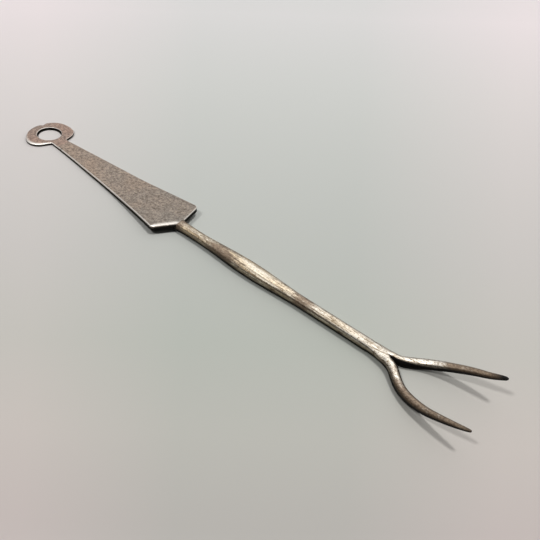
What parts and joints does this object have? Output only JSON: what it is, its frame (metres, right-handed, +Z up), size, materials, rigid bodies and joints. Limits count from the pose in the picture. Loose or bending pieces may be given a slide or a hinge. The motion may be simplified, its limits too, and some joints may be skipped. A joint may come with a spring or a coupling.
{
  "type": "roasting fork",
  "caption": "Hand-forged iron roasting fork with a flat hanging ring, a tapered flat handle, a round swelled shank and curved tines.",
  "frame": {"origin": "middle of the ring's hole at half the ring's thickness", "axes": "+X along the shank from the ring towards the points, +Z up as the fork lies on a table, +Y to the left as seen from the handle"},
  "size_m": [0.3805, 0.0458, 0.0186],
  "materials": {
    "flat_iron": "matte grey-brown forged skin with worn bright edges",
    "round_iron": "handled iron, polished streaks along the bar",
    "tine_iron": "fire-browned iron with worn tops and dark points"
  },
  "bodies": {
    "root": {"hanging_ring": "flat_iron", "handle_blade": "flat_iron", "shank": "round_iron", "left_tine": "tine_iron", "right_tine": "tine_iron"}
  },
  "joints": []
}
